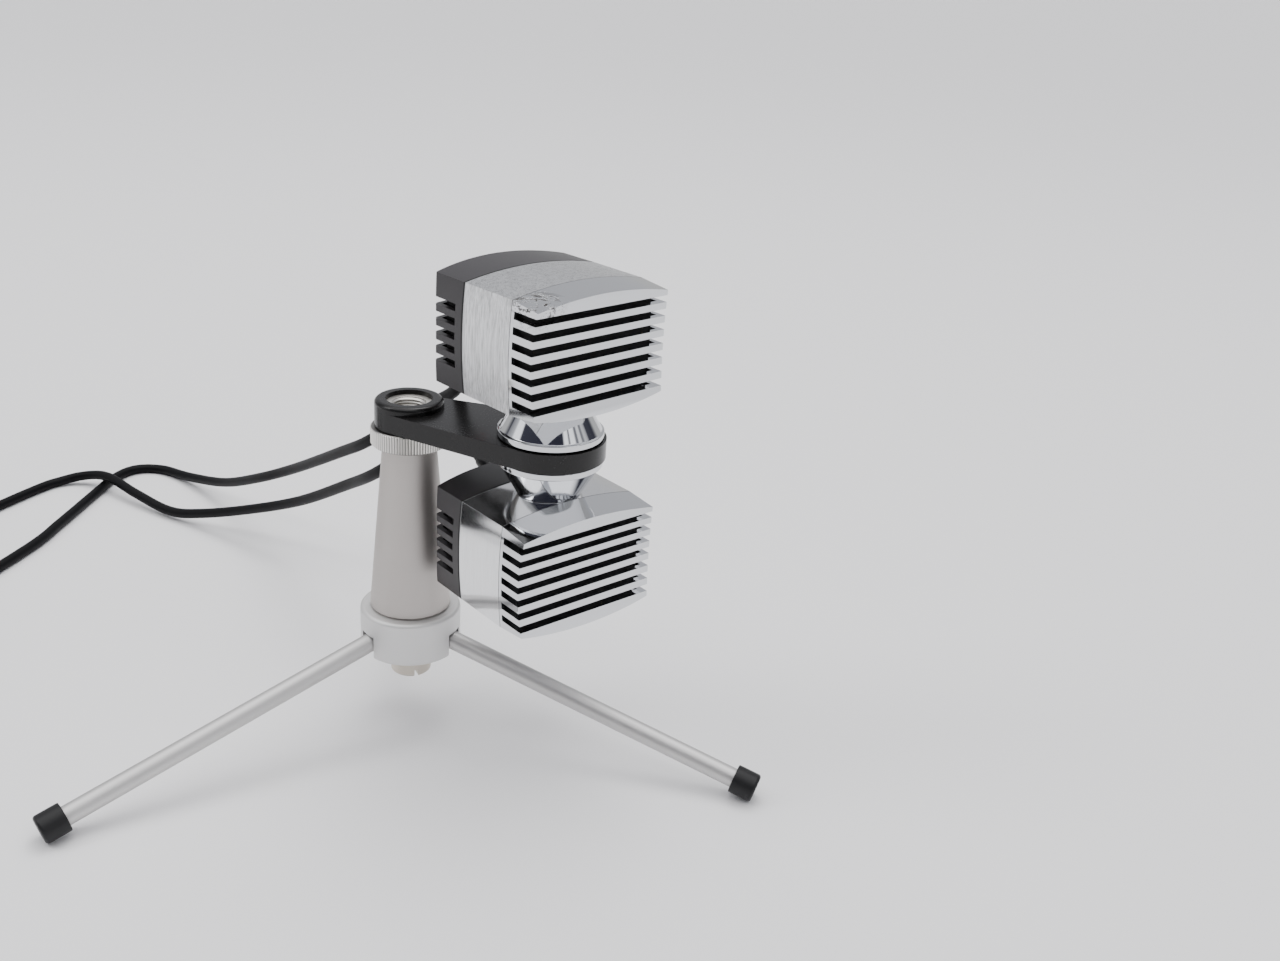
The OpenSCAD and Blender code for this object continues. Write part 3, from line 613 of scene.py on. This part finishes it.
# %% [markdown]
# ## Edges
#
# No real edge is perfectly sharp. Metal is broken with a file and plastic leaves the mould with a small
# radius, and those narrow bands catch the light as the bright lines that the photograph shows. So the
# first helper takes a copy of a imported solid, merges its loose triangles, joins those that lie in one
# plane, and bevels the sharp edges. The second turns a profile round the Z axis. Both then get normals
# weighted by face size, so that flat faces stay flat beside their bevels.


# %% Helpers that make and finish a piece
SHARP = math.radians(28)


def copy_of(node):
    """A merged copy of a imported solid, with its flat faces whole."""
    bm = bmesh.new()
    bm.from_mesh(frame["nodes"][node].data)
    bmesh.ops.remove_doubles(bm, verts=bm.verts, dist=2e-6)
    bmesh.ops.dissolve_limit(bm, angle_limit=math.radians(0.6), verts=bm.verts, edges=bm.edges)
    return bm


def turned(profile, steps=96, closed=False):
    """A shape of revolution from (radius, height) points in millimetres."""
    bm = bmesh.new()
    points = [bm.verts.new((r * MM, 0, z * MM)) for r, z in profile]
    ends = points[1:] + points[:1] if closed else points[1:]
    edges = [bm.edges.new(pair) for pair in zip(points, ends)]
    spun = {"cent": (0, 0, 0), "axis": (0, 0, 1), "angle": math.tau, "steps": steps}
    bmesh.ops.spin(bm, geom=points + edges, use_merge=True, **spun)
    bmesh.ops.remove_doubles(bm, verts=bm.verts, dist=1e-7)
    bmesh.ops.recalc_face_normals(bm, faces=bm.faces)
    return bm


def ease(bm, width, segments=2, limit=SHARP, picked=None):
    """Bevels every edge that turns by more than the limit, or those of them that are picked."""
    sharp = [e for e in bm.edges if len(e.link_faces) == 2 and e.calc_face_angle(0) > limit]
    if picked:
        sharp = [e for e in sharp if all(picked(v.co) for v in e.verts)]
    settings = {"affect": "EDGES", "segments": segments, "profile": 0.5, "material": -1}
    bmesh.ops.bevel(bm, geom=sharp, offset=width * MM, clamp_overlap=True, **settings)
    return bm


def piece(name, bm, material, body, slot, *stands_for):
    """Turns a bmesh into a piece of the object that rides on a body."""
    mesh = bpy.data.meshes.new(name)
    bm.to_mesh(mesh)
    bm.free()
    mesh.polygons.foreach_set("use_smooth", [True] * len(mesh.polygons))
    mesh.set_sharp_from_angle(angle=math.radians(40))
    mesh.materials.append(material)
    obj = bpy.data.objects.new(name, mesh)
    bpy.context.scene.collection.objects.link(obj)
    weighted = obj.modifiers.new("weighted", "WEIGHTED_NORMAL")
    weighted.keep_sharp = True
    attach(obj, body)
    if stands_for:
        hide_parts(*stands_for)
    print(name, len(mesh.polygons), "faces")
    return obj


def moved(bm, matrix):
    """Moves a bmesh into place before it becomes a piece."""
    bmesh.ops.transform(bm, matrix=matrix, verts=bm.verts)
    return bm


def softened(node, width, material, body, slot):
    """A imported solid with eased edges, standing for the solid itself."""
    return piece(node + "_shape", ease(copy_of(node), width), material, body, slot, node)


# %% [markdown]
# ## The tripod
#
# The hub is cast, with a well rounded rim and a slot for each leg. Its solid, like the legs' and the
# feet's, is right as it is and only gets its edges. The column has a slight taper and sits in a shallow
# step. It is turned afresh in many steps, so that its long highlight stays smooth.

# %% Hub, column, legs and feet
softened("hub", 0.25, HUB_METAL, "stand", "hub_metal")
softened("hub_screw", 0.12, SCREW_METAL, "stand", "screw_metal")

STAND = Matrix.Translation(STAND_AXIS)
column_low, column_high = (corner.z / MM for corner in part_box("column"))
COLUMN_FOOT_R = 12
COLUMN_TOP_R = 7.7
COLUMN_EDGE = 0.25
STEP_R = COLUMN_FOOT_R - 0.9
FOOT_GAP = 0.02
FOOT_STEP = 0.45
column_shape = [
    (0, column_low + FOOT_GAP), (STEP_R, column_low + FOOT_GAP), (STEP_R, column_low + FOOT_STEP),
    (COLUMN_FOOT_R - 0.1, column_low + FOOT_STEP + COLUMN_EDGE),
    (COLUMN_TOP_R, column_high - COLUMN_EDGE), (COLUMN_TOP_R - COLUMN_EDGE, column_high), (0, column_high),
]
column = moved(ease(turned(column_shape), 0.08), STAND)
piece("column_shape", column, COLUMN_METAL, "stand", "column_metal", "column")

for side in LEG_DIRECTIONS:
    softened("leg_" + side, 0.1, LEG_METAL[side], "leg_" + side, "leg_metal")
    softened("foot_" + side, 0.25, FOOT_RUBBER, "leg_" + side, "foot_rubber")

# %% Lock ring and the stud that it carries
softened("lock_ring", 0.05, RING_METAL, "lock_ring", "ring_metal")
softened("stud", 0.1, STEEL, "lock_ring", "steel")

# %% [markdown]
# ## The arm and its threaded bush
#
# The arm is one black moulding with a raised boss. A light metal bush is pressed into the boss, and its
# thread shows inside. The thread is a ridge with a three-cornered section that the spin operator carries
# up as it turns, as a screw-cutting lathe would. In the photograph the bush's rim stands a little higher
# than the solid's, so the rim is raised before its edges are eased.

# %% Arm and bush
softened("arm", 0.3, ARM_PLASTIC, "arm", "arm_plastic")

THREAD_PITCH = 0.9
THREAD_DEPTH = 0.5
THREAD_R = 4.77
THREAD_STEPS = 48


def thread(low, high):
    """A helical ridge inside a bore."""
    bm = bmesh.new()
    half = THREAD_PITCH * 0.45
    corners = [(THREAD_R, low), (THREAD_R - THREAD_DEPTH, low + half), (THREAD_R, low + 2 * half)]
    points = [bm.verts.new((r * MM, 0, z * MM)) for r, z in corners]
    edges = [bm.edges.new(pair) for pair in zip(points, points[1:] + points[:1])]
    turns = (high - low - 2 * half) / THREAD_PITCH
    rise = Vector((0, 0, THREAD_PITCH * MM / THREAD_STEPS))
    spun = {"cent": (0, 0, 0), "axis": (0, 0, 1), "dvec": rise, "angle": math.tau * turns}
    bmesh.ops.spin(bm, geom=points + edges, steps=round(THREAD_STEPS * turns), **spun)
    bmesh.ops.holes_fill(bm, edges=[e for e in bm.edges if e.is_boundary])
    bmesh.ops.recalc_face_normals(bm, faces=bm.faces)
    return bm


RELIEF = 0.9
BUSH_RISE = 0.7
stud_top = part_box("stud")[1].z / MM
bush_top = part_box("arm_bush")[1].z / MM + BUSH_RISE
bush = copy_of("arm_bush")
rim = [v for v in bush.verts if v.co.z / MM > bush_top - BUSH_RISE - 0.8]
bmesh.ops.translate(bush, vec=(0, 0, BUSH_RISE * MM), verts=rim)
piece("arm_bush_shape", ease(bush, 0.15), BUSH_METAL, "arm", "bush_metal", "arm_bush")
piece("bush_thread", moved(thread(stud_top + RELIEF, bush_top - 0.1), STAND), BUSH_METAL, "arm", "bush_metal")

# %% [markdown]
# ## The heads
#
# A head is a brushed sleeve between a chromed grille and a dark rear cover. The grille is one moulding:
# seven slots run across its hollow front and round both sides, so the bars stand free at the corners.
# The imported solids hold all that, so each is copied and its edges are eased, more on the rubbery cover
# and very little on the chrome. Only a grille's front lip on the side of its neck is visibly round.
#
# The necks are mirrors, and a mirror shows every flat of a coarse mesh. So they are spun afresh in many
# steps, and the ring where the cone meets the head is then bent to the head's arched underside.

# %% Grilles, sleeves, covers and cloth
LIP_ROUND = 0.9
LIP_BEHIND = -14.5
LIP_ABOVE = HEAD_LOW + ARCH + 1.2


def front_lip(head):
    """Picks the grille's front edge on the side of its neck, which is rounder than the others."""
    back = HEAD_PLACE[head].inverted()

    def picked(co):
        at = back @ co / MM
        return at.y < LIP_BEHIND and at.z < LIP_ABOVE

    return picked


for head in HEAD_PLACE:
    body = head + "_head"
    grille = copy_of(head + "_grille")
    grille = ease(ease(grille, LIP_ROUND, 4, picked=front_lip(head)), 0.2)
    piece(head + "_grille_shape", grille, GRILLE_CHROME[head], body, "grille_chrome", head + "_grille")
    softened(head + "_sleeve", 0.18, SLEEVE_METAL[head], body, "sleeve_metal")
    softened(head + "_cover", 0.28, COVER_PLASTIC[head], body, "cover_plastic")
    softened(head + "_cloth", 0.2, DARK_CLOTH[head], body, "dark_cloth")

# %% A dark lining inside each rear cover
LINER = Vector((19.6, 5.2, 12.4)) * MM
LINER_AT = Vector((0, 16.6, HEAD_UP)) * MM
for head, place in HEAD_PLACE.items():
    bm = bmesh.new()
    bmesh.ops.create_cube(bm, size=2)
    bmesh.ops.scale(bm, vec=LINER, verts=bm.verts)
    bmesh.ops.translate(bm, vec=LINER_AT, verts=bm.verts)
    shape = moved(ease(bm, 1.5, 4), place)
    piece(head + "_rear_lining", shape, DARK_CLOTH[head], head + "_head", "dark_cloth")

# %% Necks
NECK_FROM = 3.05
FLANGE_R = 14.6
FLANGE_TOP = NECK_FROM + 1.9
CONE_FOOT_R = 14.0
CONE_TOP_R = 8.9
NECK_HOLE_R = 5.6
NECK_STEPS = 160


def neck():
    """A neck in the head's frame: a flange, and a cone that ends on the head's arch."""
    profile = [
        (NECK_HOLE_R, NECK_FROM), (FLANGE_R, NECK_FROM), (FLANGE_R, FLANGE_TOP),
        (CONE_FOOT_R, FLANGE_TOP), (CONE_TOP_R, HEAD_LOW), (NECK_HOLE_R, HEAD_LOW),
    ]
    bm = ease(turned(profile, NECK_STEPS, closed=True), 0.3, 3)
    for vert in bm.verts:
        share = climb((vert.co.z / MM - FLANGE_TOP - 1) / (HEAD_LOW - FLANGE_TOP - 1))
        vert.co.z += share * vert.co.x**2 / (2 * ARCH_R * MM)
    return bm


for head, place in HEAD_PLACE.items():
    shape = moved(neck(), place)
    piece(head + "_neck_shape", shape, NECK_CHROME, head + "_head", "neck_chrome", head + "_neck")

# %% Boots
boot_shape = [
    (0, 0.4), (2.88, 0.4), (2.88, 3.4), (2.72, 3.9), (2.72, 4.5), (2.6, 5.2),
    (2.3, BOOT_LENGTH - 0.7), (2.1, BOOT_LENGTH - 0.05), (0, BOOT_LENGTH - 0.05),
]
for head, place in HEAD_PLACE.items():
    shape = moved(ease(turned(boot_shape, 48), 0.12, 2), place @ BOOT_FRAME)
    red = head == "upper"
    material = BOOT_RED if red else BOOT_BLACK
    slot = "boot_red" if red else "boot_black"
    piece(head + "_boot_shape", shape, material, head + "_head", slot, head + "_boot")

# %% [markdown]
# ## The cords
#
# A cord is a curve with a round bevel, turned into a mesh. The plug's grip has finger grooves, and its
# metal collar and pins are pieces of their own.

# %% Cords
BLEND_RUN = 0.085


def tube(name, points):
    """A round mesh tube along points."""
    data = bpy.data.curves.new(name, "CURVE")
    data.dimensions = "3D"
    data.bevel_depth = CORD_D / 2 * MM
    data.bevel_resolution = 4
    data.use_fill_caps = True
    spline = data.splines.new("POLY")
    spline.points.add(len(points) - 1)
    for spot, point in zip(spline.points, points):
        spot.co = (*point, 1)
    curve = bpy.data.objects.new(name, data)
    bpy.context.scene.collection.objects.link(curve)
    bpy.context.view_layer.update()
    mesh = bpy.data.meshes.new_from_object(curve.evaluated_get(bpy.context.evaluated_depsgraph_get()))
    bpy.data.objects.remove(curve)
    mesh.name = name
    mesh.polygons.foreach_set("use_smooth", [True] * len(mesh.polygons))
    obj = bpy.data.objects.new(name, mesh)
    bpy.context.scene.collection.objects.link(obj)
    return obj


# %% Plugs
GRIP = 34
GRIP_R = 8.0
COLLAR = 9
COLLAR_R = 6.6
PIN_RING = 3.5
PIN_R = 0.72


def grip_profile():
    """The plug's grip: a tail, a shoulder, shallow finger grooves and a rounded nose."""
    grooves = []
    for i in range(6):
        z = 16 + 2.4 * i
        grooves += [(GRIP_R, z), (GRIP_R - 0.45, z + 0.6), (GRIP_R, z + 1.2)]
    tail = [(0, 0), (2.5, 0), (2.6, 0.3), (3.5, 8), (6.2, 10), (7.6, 11.4), (GRIP_R, 13)]
    nose = [(GRIP_R, GRIP - 1.6), (GRIP_R - 0.5, GRIP - 0.5), (GRIP_R - 1.4, GRIP), (0, GRIP)]
    return tail + grooves + nose


def plug(head, tail, heading):
    """The plug's grip, collar and pins."""
    along = heading.to_track_quat("Z", "Y").to_matrix().to_4x4()
    place = Matrix.Translation(tail) @ along
    name = head + "_plug"
    grip = moved(ease(turned(grip_profile(), 64), 0.15), place)
    made = [piece(name + "_grip", grip, PLUG_BLACK, "arm", "plug_black", name)]
    wall = [(COLLAR_R, GRIP - 0.5), (COLLAR_R, GRIP + COLLAR), (COLLAR_R - 0.6, GRIP + COLLAR)]
    wall += [(COLLAR_R - 0.6, GRIP + 2), (0, GRIP + 2), (0, GRIP - 0.5)]
    collar = moved(ease(turned(wall, 64), 0.1), place)
    made.append(piece(name + "_collar", collar, BUSH_METAL, "arm", "bush_metal"))
    pins = bmesh.new()
    for turn in (0, 90, 180):
        spot = Matrix.Rotation(math.radians(turn), 4, "Z") @ Matrix.Translation(
            Vector((PIN_RING, 0, GRIP + 1.5 + (COLLAR - 3) / 2)) * MM
        )
        cone = {"cap_ends": True, "segments": 20, "radius1": PIN_R * MM, "radius2": PIN_R * MM}
        bmesh.ops.create_cone(pins, depth=(COLLAR - 2) * MM, matrix=spot, **cone)
    made.append(piece(name + "_pins", moved(ease(pins, 0.2), place), STEEL, "arm", "steel"))
    return made


# %% Each cord with its plug
FREE_STEPS = 30

for head, (points, heading) in CORD_PATHS.items():
    cord = tube(head + "_lead", points)
    cord.data.materials.append(CORD_BLACK)
    run = (points[FREE_STEPS] - points[0]).normalized() * BLEND_RUN
    head + "_head"
    points[0] + run
    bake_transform(cord)
    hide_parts(head + "_cord", head + "_coil")
    parts = plug(head, points[-1], heading)
    facts = {"length": length_of(points), "diameter": CORD_D * MM, "far_end": "plug"}
    facts.update(stiffness="limp", lay="coiled", path=points, with_pieces=parts)

# %% [markdown]
# ## Pieces inside
#
# The capsule, its baffle, the axle and the fittings of the joint hardly show, but a glimpse of them
# comes through the rear slots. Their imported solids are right, so they only get their own finish.

# %% Inner pieces keep their solids
INNER = {
    "leg_pins": STEEL, "axle": STEEL,
    "upper_washer": BRASS, "lower_washer": BRASS, "upper_keeper": STEEL, "lower_keeper": STEEL,
}
for head in HEAD_PLACE:
    INNER[head + "_neck_stud"] = STEEL
    INNER[head + "_neck_nut"] = STEEL
    INNER[head + "_baffle"] = DARK_PLASTIC
    INNER[head + "_capsule"] = CAPSULE_METAL
for node, material in INNER.items():
    mesh = frame["nodes"][node].data
    mesh.materials.clear()
    mesh.materials.append(material)

# %% [markdown]
# ## Floor, sky and lamps
#
# The photograph has a pale seamless background and soft light from all round, a little stronger from
# the left. Chrome shows nothing but its surroundings, so the sky matters as much as the metal. The
# necks in the photograph mirror a pale backdrop, a bright ceiling, and behind the camera a dark room
# with tall windows. A ramp over the compass gives those, read off the bands on the upper neck. Its
# bearings are in degrees from the direction behind the camera, and grow towards the camera's right. Low
# down, the sky is pale all round, so that every view has a plain background. Two soft lamps stand where
# the necks don't mirror them.

# %% Floor
FLOOR_REACH = 12
FLOOR_COLOUR = (0.93, 0.925, 0.935)
bm = bmesh.new()
bmesh.ops.create_grid(bm, x_segments=1, y_segments=1, size=FLOOR_REACH)
floor_mesh = bpy.data.meshes.new("floor")
bm.to_mesh(floor_mesh)
bm.free()
floor = bpy.data.objects.new("floor", floor_mesh)
bpy.context.scene.collection.objects.link(floor)
floor_finish = Finish("floor_card", roughness=0.7, base_color=FLOOR_COLOUR)
floor_mesh.materials.append(floor_finish.material)
floor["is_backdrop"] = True

print("floor:", 2 * FLOOR_REACH, "m across")

# %% Sky: a pale sweep behind, a bright ceiling, and a dark room with windows behind the camera
ROOM_WAY = -97.3
BACKDROP = 0.66
CEILING = (2.5, 2.5, 2.52)
PALE_TO_ROOM = (0.12, 0.25)
ROOM_TO_CEILING = (0.72, 0.86)
ROOM = [
    (-180, BACKDROP), (-127, BACKDROP), (-124, 0.05), (-113, 0.06), (-110, 0.35), (-97, 0.7), (-92, 1.9),
    (-77, 1.9), (-73, 0.07), (-30, 0.05), (25, 0.04), (33, 0.05), (37, 1.8), (45, 1.8), (47, 0.3), (50, 0.3),
    (52, 1.8), (62, 1.7), (65, 0.3), (70, 0.25), (72, 1.2), (78, 1.1), (80, 0.3), (84, 0.3), (87, 0.9),
    (93, 0.7), (98, 0.08), (122, 0.05), (128, BACKDROP), (180, BACKDROP),
]


def make_sky():
    """Light from all round, by bearing and by height."""
    world = bpy.data.worlds.new("sky")
    bpy.context.scene.world = world
    sky = Graph(world)
    way = sky.add("ShaderNodeTexCoord", {}, {}, "Generated")
    turn = {"Vector": way, "Rotation": (0, 0, math.radians(-ROOM_WAY))}
    facing = sky.add("ShaderNodeMapping", {}, turn)
    bearing = sky.add("ShaderNodeTexGradient", {"gradient_type": "RADIAL"}, {"Vector": facing}, 1)
    stops = [(0.5 + angle / 360, (level * 0.97, level * 0.98, level + 0.02)) for angle, level in ROOM]
    around = sky.add("ShaderNodeValToRGB", {"stops": stops}, {0: bearing})
    height = sky.add("ShaderNodeSeparateXYZ", {}, {0: way}, 2)
    walls = sky.mix(height.over(*PALE_TO_ROOM), [BACKDROP] * 3, around)
    colour = sky.mix(height.over(*ROOM_TO_CEILING), walls, CEILING)
    light = sky.add("ShaderNodeBackground", {}, {0: colour})
    sky.add("ShaderNodeOutputWorld", {}, {0: light})


make_sky()


# %% Lamps
def lamp(name, place, towards, size, watts):
    """A soft square lamp that points at something."""
    data = bpy.data.lights.new(name, "AREA")
    data.size = size
    data.energy = watts
    obj = bpy.data.objects.new(name, data)
    bpy.context.scene.collection.objects.link(obj)
    aim = Vector(towards) - Vector(place)
    obj.matrix_world = Matrix.Translation(place) @ aim.to_track_quat("-Z", "Y").to_matrix().to_4x4()
    return obj


MIDDLE = (0.0, -0.03, 0.09)
lamp("key", (0.25, 0.35, 1.4), MIDDLE, 0.6, 5)
lamp("side", (-1.1, 0.0, 1.15), MIDDLE, 0.5, 4)
print("lamps:", len(bpy.data.lights))

# %% Sizes, and the last checks
scene_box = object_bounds()
cad_size, scene_size = cad_box[1] - cad_box[0], scene_box[1] - scene_box[0]
print("box grew by mm:", [round(x, 2) for x in (scene_size - cad_size) / MM])
